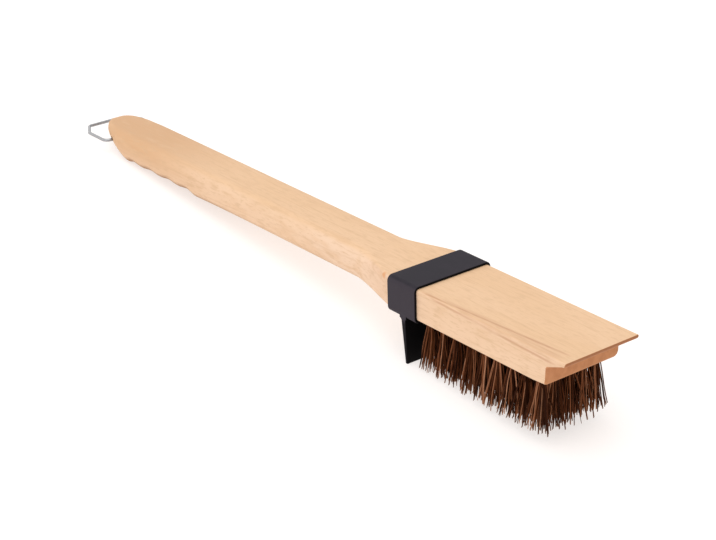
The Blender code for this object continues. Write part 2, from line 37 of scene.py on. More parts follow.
# The plank, with the sizes of its solid but for slightly smaller roundings on its lip, end and lower edges
WOOD_LENGTH = 449 * MM
HEAD_WIDTH = 50 * MM
HEAD_THICKNESS = 18 * MM
HEAD_LENGTH = 136.3 * MM
HEAD_TOP_ROUND = 1.6 * MM
HEAD_BOTTOM_ROUND = 1.6 * MM
NECK_LENGTH = 38.5 * MM
NECK_WIDTH = 35 * MM
NECK_HOLLOW_POWER = 1.2
GRIP_WIDTH = 34.5 * MM
GRIP_THICKNESS = 19 * MM
GRIP_SWELL_POWER = 5
GRIP_TOP_ROUND = 7.5 * MM
GRIP_BOTTOM_ROUND = 5.6 * MM
NOSE_LENGTH = 35.7 * MM
NOSE_UNDERCUT_LENGTH = 38 * MM
NOSE_CROWN_LENGTH = 8 * MM
NOSE_TIP_DEPTH = 3.2 * MM
NOSE_TIP_LEAST = 1.2 * MM
LIP_OVERHANG = 14.3 * MM
LIP_ARRIS = 0.25 * MM
LIP_TIP_DEPTH = 1.5 * LIP_ARRIS
LIP_NOSE_RUN = 3 * MM
LIP_NOSE_DROP = 3 * MM
LIP_ROOT = 7.2 * MM
LIP_FILLET = 2.4 * MM
LIP_BOTTOM_ROUND = 0.8 * MM
LIP_CORNER_ROUND = 1.5 * MM
END_LEAN = 0.3 * MM
END_ROUND = 1.9 * MM
END_CORNER_ROUND = 2.6 * MM
END_CORNER_RUN = 8 * MM
GROOVE_COUNT = 4
GROOVE_PITCH = 20.4 * MM
GROOVE_DEPTH = 2.1 * MM
GROOVE_RIDGE_SHARE = 0.55
GROOVES_END = 415.8 * MM

# The collar with its scraper
COLLAR_STATION = 112.5 * MM
COLLAR_LENGTH = 22.8 * MM
COLLAR_TOP_WALL = 1.2 * MM
COLLAR_SIDE_WALL = 1.3 * MM
COLLAR_BOTTOM_WALL = 1.4 * MM
COLLAR_CORNER_ROUND = 3.4 * MM
COLLAR_EDGE_ROUND = 0.6 * MM
COLLAR_CLEARANCE = 0.3 * MM
SCRAPER_STATION = 119.6 * MM
SCRAPER_REACH = 45.4 * MM
SCRAPER_TOP_THICKNESS = 3.1 * MM
SCRAPER_EDGE_THICKNESS = 1.4 * MM
SCRAPER_LEAN = 1.2 * MM
SCRAPER_REAR_FILLET = 1.6 * MM
SCRAPER_FRONT_FILLET = 0.8 * MM
SCRAPER_SIDE_ROUND = 0.4 * MM
SCRAPER_SIDE_INSET = 0.15 * MM

# The screws under the collar
SCREW_STATION = 130.3 * MM
SCREW_Y = 14 * MM
SCREW_SHANK_RADIUS = 1.5 * MM
SCREW_SHANK_LENGTH = 11 * MM
SCREW_TIP_RADIUS = SCREW_SHANK_RADIUS / 8
SCREW_TIP_LENGTH = 2.2 * MM
SCREW_HEAD_RADIUS = 2.9 * MM
SCREW_HEAD_HEIGHT = 1.7 * MM
SCREW_HEAD_CROWN = 0.5 * MM
SCREW_SLOT_WIDTH = 0.8 * MM
SCREW_SLOT_LENGTH = 3.2 * MM
SCREW_SLOT_DEPTH = 0.9 * MM
SCREW_CLEARANCE = 0.3 * MM

# The tufts: loose fibres that leave each hole as a bundle and fan out, a little longer towards the front
TUFT_ROWS = 5
TUFT_COLUMNS = 9
FIRST_TUFT_STATION = 24 * MM
LAST_TUFT_STATION = 108 * MM
OUTER_TUFT_Y = 18 * MM
TUFT_HOLE_DEPTH = 11 * MM
TUFT_HOLE_RADIUS = 2.8 * MM
BUNDLE_RADIUS = 2.35 * MM
FIELD_FRONT_STATION = 20 * MM
FIELD_REAR_STATION = 113.5 * MM
FIELD_HALF_WIDTH = 23.2 * MM
FAN_SHARE = 0.62
BRISTLE_REACH = 45.6 * MM
BRISTLE_FRONT_REACH = 48 * MM
BRISTLE_RAGGED = 2 * MM
FIBRE_BLADE_GAP = 1 * MM
FIBRES_PER_TUFT = 50
FIBRE_ROOT_IN_WOOD = 3 * MM
FIBRE_RADIUS = (0.28 * MM, 0.48 * MM)
FIBRE_FLATNESS = (0.5, 1)
FIBRE_TIP_SHARE = 0.8
FIBRE_FAN_POWER = 1.12
FIBRE_SIDES = 5
FIBRE_STEPS = 7
FIBRE_SHARP_ANGLE = math.radians(80)

# What chance does to the fibres: standard deviations, and two numbers that shape the spread of their tones
FIBRE_SEED = 31
FAN_SPREAD = 0.16
TIP_WANDER = 1.8 * MM
RAGGED_SPREAD = 0.42
BOW_SPREAD = 0.45 * MM
TWIST_SPREAD = 0.35
TUFT_TONE_SPREAD = 0.03
FIBRE_TONE_SHAPE = (0.9, 1.5)

# The hanging loop
WIRE_RADIUS = 1 * MM
LOOP_HOLE_STATION = 430 * MM
LOOP_HOLE_DEPTH = 7.5 * MM
LOOP_HOLE_RADIUS = 1.3 * MM
LOOP_ARM_CLEARANCE = 3.6 * MM
LOOP_END_IN_WOOD = 7 * MM
LOOP_REACH = 31 * MM
LOOP_BEND_RADIUS = 4 * MM
LOOP_SHOULDER_RUN = 11 * MM
LOOP_SHOULDER_RISE = 6.5 * MM
LOOP_CORNER_RADIUS = 3 * MM

# Noises, as waves to the metre along x, y and z, then the detail. The wood's bands and fine lines have waves
# along the wood and across its layers, then the detail and the roughness. Most of a noise is in NOISE_SPAN.
NOISE_SPAN = (0.3, 0.7)
BAND_NOISE = (4, 190, 2, 0.55)
FINE_NOISE = (22, 900, 3, 0.6)
WANDER_NOISE = (8, 40, 40, 2)
BLOTCH_NOISE = (9, 34, 34, 2)
MOTTLE_NOISE = (60, 210, 210, 2)
BREAK_NOISE = (55, 500, 500, 2)
PORE_NOISE = (120, 560, 560, 2)
FLECK_NOISE = (260, 1500, 1500, 1)
END_GRAIN_NOISE = (60, 260, 200, 3)
PLASTIC_NOISE = (130, 130, 130, 3)
PLASTIC_SKIN_NOISE = (3200, 3200, 3200, 1)
FIBRE_SHADE_NOISE = (900, 900, 90, 2)
FIBRE_RIB_NOISE = (7000, 7000, 250, 1)
STEEL_NOISE = (900, 900, 900, 3)
TABLE_NOISE = (4, 4, 4, 1)

# The wood's colours. Its layers tilt across the board by these weights of x, y and z, and wander.
WOOD_LIGHT = (0.768, 0.512, 0.318, 1)
WOOD_WARM = (0.745, 0.488, 0.292, 1)
# Painted sheen: the colour the side faces are paled towards, most near the neck
WOOD_SIDE_SHEEN = (0.785, 0.562, 0.405, 1)
WOOD_BAND = (0.698, 0.450, 0.268, 1)
WOOD_LINE = (0.614, 0.397, 0.232, 1)
WOOD_STREAK = (0.492, 0.246, 0.139, 1)
WOOD_KNOT = (0.680, 0.320, 0.135, 1)
# The wood gets darker and browner towards the nose, most on its top
WOOD_NOSE_TONE = (0.640, 0.384, 0.212, 1)
# Painted shade: the colour of the downward-facing wood near the nose, where the grip nearly touches the table
WOOD_UNDER_SHADE = (0.300, 0.150, 0.075, 1)
# Painted shade inside the loop's hole and round its mouth
WOOD_HOLE_SHADE = (0.110, 0.050, 0.022, 1)
END_GRAIN_DARK = (0.480, 0.200, 0.082, 1)
END_GRAIN_LIGHT = (0.560, 0.248, 0.108, 1)
# Painted shade: a dark band along the top of the end faces, just under the lip's top arris
ARRIS_SHADE = (0.330, 0.125, 0.050, 1)
WOOD_ROUGHNESS = (0.55, 0.66)
WOOD_SPECULAR = 0.2
WOOD_LAYER_TILT = (0.02, 0.8, -0.6)
WOOD_LAYER_WANDER = 6 * MM

# Where each of the wood's tones starts and is full, by noise, by facing or by x and z, and how strong it gets
BLOTCH_SPAN = (0.35, 0.65)
BAND_SPAN = (0.5, 0.75)
BAND_SHARES = (0, 0.35)
FINE_SPAN = (0.5, 0.72)
FINE_SHARES = (0, 0.4)
MOTTLE_SPAN = (0.5, 0.7)
MOTTLE_SHARES = (0, 0.45)
PORE_SPAN = (0.5, 0.72)
FLECK_SPAN = (0.58, 0.76)
PORE_SHARES_BY_SIDE = (0.35, 0.52)
SIDE_FACING = (0.4, 0.8)
SHEEN_NECK_STATION = 165 * MM
SHEEN_NECK_SPAN = (0.03, 0.07)
SHEEN_SHARES = (0.85, 0.45)
NOSE_TONE_ALONG = (-0.3, -0.4)
NOSE_TONE_DOWN = (-0.018, -0.004)
NOSE_TONE_SHARES = (0.15, 1)
UNDER_FACING = (-0.15, -0.7)
UNDER_SHADE_START = (-0.15, -0.2)
UNDER_SHADE_ALONG = (-0.26, -0.36)
UNDER_SHADE_SHARES = (0.25, 0.8)
END_FACING = (0.1, 0.55)
END_ALONG = (-0.2, -0.1)
ARRIS_SHADE_DOWN = (-0.0028, -0.0010)
ARRIS_SHADE_SHARES = (0, 0.85)
HOLE_SHADE_SHARE = 0.85
KNOT_CENTRE = (-0.1413, -0.0238, -0.0015)
KNOT_RADIUS = 2.6 * MM
KNOT_CORE = 0.3
KNOT_SHARE = 0.8

# The pink streaks by the head's near top edge: the distance from that edge at x = 0, inwards on the top and
# downwards as a negative on the side, the slope along x, both ends along x, half the width and the strength
WOOD_STREAKS = (
    (0.0079, 0.067, -0.112, -0.002, 0.0014, 0.75),
    (0.0100, 0.078, -0.112, -0.050, 0.0022, 0.25),
    (-0.0035, -0.029, -0.105, -0.004, 0.0012, 0.65),
    (0.0044, -0.030, -0.042, -0.018, 0.0009, 0.40),
    (0.0037, 0.000, -0.030, -0.005, 0.0008, 0.45),
    (-0.0012, 0.000, -0.034, -0.003, 0.0008, 0.35),
    (0.0022, 0.019, -0.085, -0.002, 0.0055, 0.30),
)
STREAK_FADE = 10 * MM
STREAK_DOWN = (-0.012, -0.008)
STREAK_BREAK_SPAN = (0.3, 0.55)
STREAK_BREAK_SHARES = (0.35, 1)

# The moulding, with painted light on its sides and painted shade, near black, on its blade and its ends
PLASTIC_DARK = (0.0240, 0.0205, 0.0270, 1)
PLASTIC_LIGHT = (0.0330, 0.0285, 0.0360, 1)
# Painted light: the colour the faces turned to the sides are lightened towards
PLASTIC_SIDE_LIGHT = (0.0440, 0.0365, 0.0455, 1)
# Painted shade: the near black on the blade below the sleeve and on the faces turned along the brush
PLASTIC_SHADE = (0.0020, 0.0016, 0.0018, 1)
PLASTIC_PAINTED_FACING = (0.5, 0.9)
PLASTIC_SHADE_RUN = 3.2 * MM
PLASTIC_BLADE_SHADE_SHARE = 0.82
PLASTIC_ROUGHNESS = (0.55, 0.64)
PLASTIC_SPECULAR = 0.08

# The fibres: the colours of the darkest to the palest, then the painted shade blended in as patches and the
# paler cut tips
FIBRE_TONES = (
    (0.0, (0.014, 0.0035, 0.0012, 1)),
    (0.35, (0.088, 0.023, 0.006, 1)),
    (0.7, (0.26, 0.093, 0.039, 1)),
    (1.0, (0.52, 0.250, 0.140, 1)),
)
FIBRE_SHADE = (0.030, 0.009, 0.005, 1)
FIBRE_SHADE_SPAN = (0.35, 0.7)
FIBRE_SHADE_SHARES = (0, 0.35)
FIBRE_CUT = (0.45, 0.24, 0.14, 1)
FIBRE_CUT_SPAN = (0.9, 1)
FIBRE_CUT_SHARES = (0, 0.25)
FIBRE_ROUGHNESS = (0.5, 0.7)
FIBRE_SPECULAR = 0.04

# The steel of the screws and of the loop, and the depth of its marks and of the other surfaces' texture
ZINC = (0.45, 0.44, 0.42, 1)
ZINC_ROUGHNESS = (0.28, 0.42)
PLATING = (0.43, 0.43, 0.44, 1)
PLATING_ROUGHNESS = (0.3, 0.42)
STEEL_DARK_SHARE = 0.82
STEEL_BUMP = 0.02 * MM
SURFACE_BUMP = 0.03 * MM

# The light: a white tent, dimmer towards the tip and the far side, a softbox, and a table lit from inside
TENT_STRENGTH = 1.18
TENT_DIM_STRENGTH = 0.62
TENT_DIM_SIDE = (1, 1, 0)
TENT_DIM_SPAN = (-0.3, 0.8)
SOFTBOX_POWER = 7.0
SOFTBOX_PLACE = (0.1, -0.25, 1.9)
SOFTBOX_SIZE = 1.2
SOFTBOX_COLOUR = (1, 0.99, 0.97)
TABLE_DARK = (0.44, 0.44, 0.44, 1)
TABLE_LIGHT = (0.46, 0.46, 0.46, 1)
TABLE_ROUGHNESS = 0.9
TABLE_SPECULAR = 0.1
TABLE_GLOW = 0.66
TABLE_GLOW_COLOUR = (1, 0.945, 0.915, 1)
TABLE_HALF_SIZE = 20
TABLE_CUTS = 8

# How finely the curves are cut
CORNER_STEPS = 8
ARC_STEPS = 10
NECK_STEPS = 24
GRIP_STEPS = 14
GROOVES_STEPS = 56
NOSE_STEPS = 22
COLLAR_EDGE_STEPS = 4
SCRAPER_EDGE_STEPS = 3
SCREW_CROWN_STEPS = 4
WIRE_STEPS = 6
SCREW_SIDES = 40
DRILL_SIDES = 24
LOOP_DRILL_SIDES = 20
OVERRUN = 5 * MM
WELD_DISTANCE = 0.001 * MM
SHARP_ANGLE = math.radians(35)

# The camera, in the brush's frame
IMAGE_WIDTH = 716
FOCAL_PIXELS = 2000
CAMERA_AZIMUTH = math.radians(52.6622)
CAMERA_ELEVATION = math.radians(24.3658)
CAMERA_ROLL = math.radians(-1.7532)
CAMERA_OFFSET = Vector((-0.1194576, 0.0384744, 0.9727824))
SENSOR_WIDTH = 36

NECK_END = HEAD_LENGTH + NECK_LENGTH
NOSE_STATION = WOOD_LENGTH - NOSE_LENGTH
GROOVES_START = GROOVES_END - GROOVE_COUNT * GROOVE_PITCH
COLLAR_HALF_WIDTH = HEAD_WIDTH / 2 + COLLAR_CLEARANCE + COLLAR_SIDE_WALL
STRAP_DEPTH = HEAD_THICKNESS + COLLAR_CLEARANCE + COLLAR_BOTTOM_WALL
GRIP_MOUNT_STATION = 300 * MM

UP = Vector((0, 0, 1))
ACROSS = Vector((0, 1, 0))

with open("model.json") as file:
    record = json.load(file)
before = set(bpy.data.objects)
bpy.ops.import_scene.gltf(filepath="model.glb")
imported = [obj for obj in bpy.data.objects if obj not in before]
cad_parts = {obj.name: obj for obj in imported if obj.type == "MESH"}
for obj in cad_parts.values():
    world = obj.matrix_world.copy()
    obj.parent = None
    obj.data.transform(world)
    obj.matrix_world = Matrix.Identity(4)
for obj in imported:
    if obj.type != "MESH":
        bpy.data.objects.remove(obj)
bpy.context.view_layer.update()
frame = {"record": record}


def brush_matrix():
    """The brush's own frame, from the mount on the flat top of the grip."""
    mount = next(m for m in frame["record"]["mounts"] if m["name"] == "grip_top")
    up = Vector(mount["axis"])
    turn = Matrix.Rotation(-math.atan2(-up.x, up.z), 4, "Y")
    place = Vector(mount["pos_m"]) - turn @ Vector((-GRIP_MOUNT_STATION, 0, 0))
    return Matrix.Translation(place) @ turn


BRUSH = brush_matrix()


# Node graphs


def plug(tree, socket, value):
    """Gives an input a value, or links another node's output socket to it."""
    if isinstance(value, bpy.types.NodeSocket):
        tree.links.new(value, socket)
    else:
        socket.default_value = value


def node(tree, kind, inputs=None, **settings):
    """A node with its settings and inputs."""
    made = tree.nodes.new(kind)
    for name, value in settings.items():
        setattr(made, name, value)
    for key, value in (inputs or {}).items():
        plug(tree, made.inputs[key], value)
    return made


def maths(tree, operation, first, second=0.0):
    return node(tree, "ShaderNodeMath", {0: first, 1: second}, operation=operation).outputs[0]


def times(tree, first, second):
    return maths(tree, "MULTIPLY", first, second)


def size_of(tree, value):
    return maths(tree, "ABSOLUTE", value)


def distance(tree, first, second):
    keys = {0: first, 1: second}
    return node(tree, "ShaderNodeVectorMath", keys, operation="DISTANCE").outputs["Value"]


def ramp(tree, value, span, to=(0, 1)):
    """A value mapped smoothly from one span to another, held at both ends."""
    keys = {"Value": value, "From Min": span[0], "From Max": span[1], "To Min": to[0], "To Max": to[1]}
    return node(tree, "ShaderNodeMapRange", keys, interpolation_type="SMOOTHSTEP").outputs["Result"]


def blend(tree, share, first, second):
    """A mix of two colours. The numbers are those inputs and the output of the node that take a colour."""
    return node(tree, "ShaderNodeMix", {0: share, 6: first, 7: second}, data_type="RGBA").outputs[2]


def noise(tree, place, settings):
    *waves, detail = settings
    stretched = node(tree, "ShaderNodeMapping", {"Vector": place, "Scale": waves}).outputs["Vector"]
    keys = {"Vector": stretched, "Scale": 1, "Detail": detail, "Roughness": 0.5}
    return node(tree, "ShaderNodeTexNoise", keys).outputs["Fac"]


def new_material(name):
    made = bpy.data.materials.new(name)
    made.use_nodes = True
    return made, made.node_tree, made.node_tree.nodes["Principled BSDF"]


def bump(tree, shader, height, depth):
    made = node(tree, "ShaderNodeBump", {"Height": height, "Distance": depth, "Strength": 1})
    plug(tree, shader.inputs["Normal"], made.outputs["Normal"])


def separate(tree, place):
    return node(tree, "ShaderNodeSeparateXYZ", {0: place}).outputs


def weighted_sum(tree, *pairs):
    """The sum of sockets or values, each times its weight."""
    total = 0.0
    for value, weight in pairs:
        total = maths(tree, "ADD", total, times(tree, value, weight))
    return total


def grain_noise(tree, x, layer, settings):
    """Noise in long streaks: a few waves to the metre along the wood and many across its layers."""
    along, across, detail, roughness = settings
    keys = {"X": times(tree, x, along), "Y": times(tree, layer, across)}
    place = node(tree, "ShaderNodeCombineXYZ", keys).outputs[0]
    keys = {"Vector": place, "Scale": 1, "Detail": detail, "Roughness": roughness}
    return node(tree, "ShaderNodeTexNoise", keys).outputs["Fac"]


def wood_streaks(tree, x, y, z):
    """The pinkish streaks along the head's near top edge, on the top, round the edge and on the side."""
    inwards = weighted_sum(tree, (y, 1), (z, 1), (HEAD_WIDTH / 2, 1))
    above = ramp(tree, z, STREAK_DOWN)
    total = 0.0
    for offset, slope, start, end, reach, strength in WOOD_STREAKS:
        line = weighted_sum(tree, (inwards, 1), (x, -slope), (offset, -1))
        near = ramp(tree, size_of(tree, line), (0, reach), (strength, 0))
        started = ramp(tree, x, (start, start + STREAK_FADE))
        unended = ramp(tree, x, (end, end - STREAK_FADE))
        streak = times(tree, times(tree, near, times(tree, started, unended)), above)
        total = maths(tree, "MAXIMUM", total, streak)
    return total


def wood_material():
    """Pale, close-grained timber: faint lengthwise grain, soft blotches, pink streaks, browner end grain,
    browner towards the nose, with a painted sheen on the sides and painted shade under the grip, round the
    loop's hole and under the lip's arris.
    """
    made, tree, shader = new_material("pale_timber")
    coordinates = node(tree, "ShaderNodeTexCoord")
    place = coordinates.outputs["Object"]
    x, y, z = separate(tree, place)
    facing_x, facing_y, facing_z = separate(tree, coordinates.outputs["Normal"])
    side = ramp(tree, size_of(tree, facing_y), SIDE_FACING)

    blotch = ramp(tree, noise(tree, place, BLOTCH_NOISE), BLOTCH_SPAN)
    colour = blend(tree, blotch, WOOD_LIGHT, WOOD_WARM)
    # Painted sheen: the faces turned to the sides are paler and less saturated, most near the neck
    from_neck = size_of(tree, maths(tree, "ADD", x, SHEEN_NECK_STATION))
    side_sheen = times(tree, side, ramp(tree, from_neck, SHEEN_NECK_SPAN, SHEEN_SHARES))
    colour = blend(tree, side_sheen, colour, WOOD_SIDE_SHEEN)
    # Darker and browner towards the nose, most on the top
    nose_tone = times(tree, ramp(tree, x, NOSE_TONE_ALONG), ramp(tree, z, NOSE_TONE_DOWN, NOSE_TONE_SHARES))
    colour = blend(tree, nose_tone, colour, WOOD_NOSE_TONE)

    mottle = noise(tree, place, MOTTLE_NOISE)
    colour = blend(tree, ramp(tree, mottle, MOTTLE_SPAN, MOTTLE_SHARES), colour, WOOD_BAND)
    wander = maths(tree, "SUBTRACT", noise(tree, place, WANDER_NOISE), 0.5)
    tilt_x, tilt_y, tilt_z = WOOD_LAYER_TILT
    layer = weighted_sum(tree, (y, tilt_y), (z, tilt_z), (x, tilt_x), (wander, WOOD_LAYER_WANDER))
    bands = grain_noise(tree, x, layer, BAND_NOISE)
    colour = blend(tree, ramp(tree, bands, BAND_SPAN, BAND_SHARES), colour, WOOD_BAND)
    fine = grain_noise(tree, x, layer, FINE_NOISE)
    colour = blend(tree, ramp(tree, fine, FINE_SPAN, FINE_SHARES), colour, WOOD_LINE)

    broken = ramp(tree, noise(tree, place, BREAK_NOISE), STREAK_BREAK_SPAN, STREAK_BREAK_SHARES)
    colour = blend(tree, times(tree, wood_streaks(tree, x, y, z), broken), colour, WOOD_STREAK)
    from_knot = distance(tree, place, KNOT_CENTRE)
    knot = ramp(tree, from_knot, (KNOT_CORE * KNOT_RADIUS, KNOT_RADIUS), (KNOT_SHARE, 0))
    colour = blend(tree, knot, colour, WOOD_KNOT)

    pore_share = ramp(tree, side, (0, 1), PORE_SHARES_BY_SIDE)
    for settings, span in ((PORE_NOISE, PORE_SPAN), (FLECK_NOISE, FLECK_SPAN)):
        pores = ramp(tree, noise(tree, place, settings), span)
        colour = blend(tree, times(tree, pores, pore_share), colour, WOOD_LINE)

    # Painted shade in and round the loop's hole, where the wire enters the wood
    beside = node(tree, "ShaderNodeCombineXYZ", {"X": x, "Z": z}).outputs[0]
    from_hole = distance(tree, beside, (-LOOP_HOLE_STATION, 0, -LOOP_HOLE_DEPTH))
    hole_shade = ramp(tree, from_hole, (LOOP_HOLE_RADIUS, 2 * LOOP_HOLE_RADIUS), (HOLE_SHADE_SHARE, 0))
    colour = blend(tree, hole_shade, colour, WOOD_HOLE_SHADE)
    # Painted shade on the downward-facing wood near the nose, standing in for its contact shadow with the
    # table
    under_shade = times(tree, ramp(tree, x, UNDER_SHADE_START), ramp(tree, x, UNDER_SHADE_ALONG, UNDER_SHADE_SHARES))
    under = ramp(tree, facing_z, UNDER_FACING)
    colour = blend(tree, times(tree, under, under_shade), colour, WOOD_UNDER_SHADE)

    end = times(tree, ramp(tree, size_of(tree, facing_x), END_FACING), ramp(tree, x, END_ALONG))
    end_grain = ramp(tree, noise(tree, place, END_GRAIN_NOISE), NOISE_SPAN)
    end_colour = blend(tree, end_grain, END_GRAIN_DARK, END_GRAIN_LIGHT)
    # Painted shade along the top of the end faces, under the lip's top arris
    end_colour = blend(tree, ramp(tree, z, ARRIS_SHADE_DOWN, ARRIS_SHADE_SHARES), end_colour, ARRIS_SHADE)
    colour = blend(tree, end, colour, end_colour)

    plug(tree, shader.inputs["Base Color"], colour)
    plug(tree, shader.inputs["Roughness"], ramp(tree, fine, NOISE_SPAN, WOOD_ROUGHNESS))
    plug(tree, shader.inputs["Specular IOR Level"], WOOD_SPECULAR)
    bump(tree, shader, fine, SURFACE_BUMP)
    return made


def plastic_material():
    """Charcoal moulded plastic with a fine skin, with painted light on its sides and painted shade, near
    black, on the blade and the ends.
    """
    made, tree, shader = new_material("charcoal_moulding")
    coordinates = node(tree, "ShaderNodeTexCoord")
    place = coordinates.outputs["Object"]
    facing_x, facing_y, _ = separate(tree, coordinates.outputs["Normal"])
    mottle = noise(tree, place, PLASTIC_NOISE)
    colour = blend(tree, ramp(tree, mottle, NOISE_SPAN), PLASTIC_DARK, PLASTIC_LIGHT)
    # Painted light on the faces turned to the sides
    lit_side = ramp(tree, size_of(tree, facing_y), PLASTIC_PAINTED_FACING)
    colour = blend(tree, lit_side, colour, PLASTIC_SIDE_LIGHT)
    # Painted shade: the blade darkens below the sleeve, and the faces turned along the brush go near black
    blade_span = (-STRAP_DEPTH, -STRAP_DEPTH - PLASTIC_SHADE_RUN)
    blade = ramp(tree, separate(tree, place)[2], blade_span, (0, PLASTIC_BLADE_SHADE_SHARE))
    end = ramp(tree, size_of(tree, facing_x), PLASTIC_PAINTED_FACING)
    colour = blend(tree, maths(tree, "MAXIMUM", end, blade), colour, PLASTIC_SHADE)
    plug(tree, shader.inputs["Base Color"], colour)
    plug(tree, shader.inputs["Roughness"], ramp(tree, mottle, NOISE_SPAN, PLASTIC_ROUGHNESS))
    plug(tree, shader.inputs["Specular IOR Level"], PLASTIC_SPECULAR)
    bump(tree, shader, noise(tree, place, PLASTIC_SKIN_NOISE), SURFACE_BUMP)
    return made


def fibre_material():
    """Stiff brown plant fibre, each with its own tone and fine lengthwise ribs, with painted shade in dark
    patches.
    """
    made, tree, shader = new_material("palm_fibre")
    place = node(tree, "ShaderNodeTexCoord").outputs["Object"]
    tone = node(tree, "ShaderNodeAttribute", attribute_name="tone").outputs["Fac"]
    along = node(tree, "ShaderNodeAttribute", attribute_name="along").outputs["Fac"]
    tones = node(tree, "ShaderNodeValToRGB", {"Fac": tone})
    marks = tones.color_ramp.elements
    for position, shade in FIBRE_TONES[1:-1]:
        marks.new(position).color = shade
    marks[0].color = FIBRE_TONES[0][1]
    marks[-1].color = FIBRE_TONES[-1][1]
    # Painted shade: dark patches in the fibres that stand in for the shade between them; the same noise sets
    # the roughness
    shade_noise = noise(tree, place, FIBRE_SHADE_NOISE)
    shaded = ramp(tree, shade_noise, FIBRE_SHADE_SPAN, FIBRE_SHADE_SHARES)
    colour = blend(tree, shaded, tones.outputs["Color"], FIBRE_SHADE)
    colour = blend(tree, ramp(tree, along, FIBRE_CUT_SPAN, FIBRE_CUT_SHARES), colour, FIBRE_CUT)
    plug(tree, shader.inputs["Base Color"], colour)
    plug(tree, shader.inputs["Roughness"], ramp(tree, shade_noise, NOISE_SPAN, FIBRE_ROUGHNESS))
    plug(tree, shader.inputs["Specular IOR Level"], FIBRE_SPECULAR)
    bump(tree, shader, noise(tree, place, FIBRE_RIB_NOISE), SURFACE_BUMP)
    return made


def steel_material(name, colour, roughness):
    """Plated steel, its tone and roughness a little uneven."""
    made, tree, shader = new_material(name)
    place = node(tree, "ShaderNodeTexCoord").outputs["Object"]
    marks = noise(tree, place, STEEL_NOISE)
    darker = tuple(STEEL_DARK_SHARE * part for part in colour[:3]) + (1,)
    plug(tree, shader.inputs["Base Color"], blend(tree, ramp(tree, marks, NOISE_SPAN), darker, colour))
    plug(tree, shader.inputs["Metallic"], 1)
    plug(tree, shader.inputs["Roughness"], ramp(tree, marks, NOISE_SPAN, roughness))
    bump(tree, shader, marks, STEEL_BUMP)
    return made


def table_material():
    made, tree, shader = new_material("studio_paper")
    place = node(tree, "ShaderNodeTexCoord").outputs["Object"]
    tint = noise(tree, place, TABLE_NOISE)
    plug(tree, shader.inputs["Base Color"], blend(tree, tint, TABLE_DARK, TABLE_LIGHT))
    plug(tree, shader.inputs["Roughness"], TABLE_ROUGHNESS)
    plug(tree, shader.inputs["Specular IOR Level"], TABLE_SPECULAR)
    plug(tree, shader.inputs["Emission Color"], TABLE_GLOW_COLOUR)
    plug(tree, shader.inputs["Emission Strength"], TABLE_GLOW)
    return made


# Shapes


def mix(low, high, share):
    return low + (high - low) * share


def steps_between(low, high, steps):
    """The values after the first, in even steps up to and with the last."""
    return [mix(low, high, k / steps) for k in range(1, steps + 1)]


def ease(share):
    """0 to 1 with no slope at either end."""
    share = min(max(share, 0), 1)
    return share * share * (3 - 2 * share)


def arc(centre, radius, start, end, steps=ARC_STEPS):
    """Points on an arc in a plane, from one angle to another in degrees."""
    angles = [math.radians(mix(start, end, k / steps)) for k in range(steps + 1)]
    return [(centre[0] + radius * math.cos(a), centre[1] + radius * math.sin(a)) for a in angles]


def rounded_section(half, top, bottom, top_round, bottom_round):
    """A rounded rectangle as (y, z) points, anticlockwise from the +Y side."""
    room = min(half, (top - bottom) / 2)
    upper = min(top_round, room)
    lower = min(bottom_round, room)
    points = arc((half - upper, top - upper), upper, 0, 90, CORNER_STEPS)
    points += arc((upper - half, top - upper), upper, 90, 180, CORNER_STEPS)
    points += arc((lower - half, bottom + lower), lower, 180, 270, CORNER_STEPS)
    points += arc((half - lower, bottom + lower), lower, 270, 360, CORNER_STEPS)
    return points


def new_object(name, data, material=None):
    made = bpy.data.objects.new(name, data)
    bpy.context.scene.collection.objects.link(made)
    if material:
        data.materials.append(material)
    return made


def in_brush(made, place=Matrix.Identity(4)):
    made.matrix_world = BRUSH @ place
    return made


def mesh_from(name, working):
    bmesh.ops.recalc_face_normals(working, faces=working.faces)
    mesh = bpy.data.meshes.new(name)
    working.to_mesh(mesh)
    working.free()
    return mesh


def evaluated_mesh(made):
    bpy.context.view_layer.update()
    graph = bpy.context.evaluated_depsgraph_get()
    return bpy.data.meshes.new_from_object(made.evaluated_get(graph))


def loft(name, rings):
    """A closed skin through rings of equally many points, with a flat cap at each end."""
    working = bmesh.new()
    loops = [[working.verts.new(point) for point in ring] for ring in rings]
    count = len(loops[0])
    for near, far in zip(loops, loops[1:]):
        for k in range(count):
            after = (k + 1) % count
            working.faces.new((near[k], near[after], far[after], far[k]))
    working.faces.new(loops[0])
    working.faces.new(reversed(loops[-1]))
    bmesh.ops.remove_doubles(working, verts=working.verts, dist=WELD_DISTANCE)
    return mesh_from(name, working)


def add_line(curve, points):
    """Adds straight runs through flat points to a curve."""
    line = curve.splines.new("POLY")
    line.points.add(len(points) - 1)
    for point, (across, up) in zip(line.points, points):
        point.co = (across, up, 0, 1)
    return line


def flat_outline(name, outline, half_length, edge_round, steps):
    """A 2D curve of a closed outline, extruded both ways, with its edges rounded."""
    curve = bpy.data.curves.new(name, "CURVE")
    curve.dimensions = "2D"
    curve.fill_mode = "BOTH"
    curve.extrude = half_length - edge_round
    curve.bevel_depth = edge_round
    curve.offset = -edge_round
    curve.bevel_resolution = steps
    add_line(curve, outline).use_cyclic_u = True
    return curve


def curve_mesh(curve):
    """The welded mesh of a curve, in the curve's own frame."""
    maker = new_object("maker", curve)
    mesh = evaluated_mesh(maker)
    bpy.data.objects.remove(maker)
    working = bmesh.new()
    working.from_mesh(mesh)
    bmesh.ops.remove_doubles(working, verts=working.verts, dist=WELD_DISTANCE)
    bmesh.ops.recalc_face_normals(working, faces=working.faces)
    working.to_mesh(mesh)
    working.free()
    return mesh


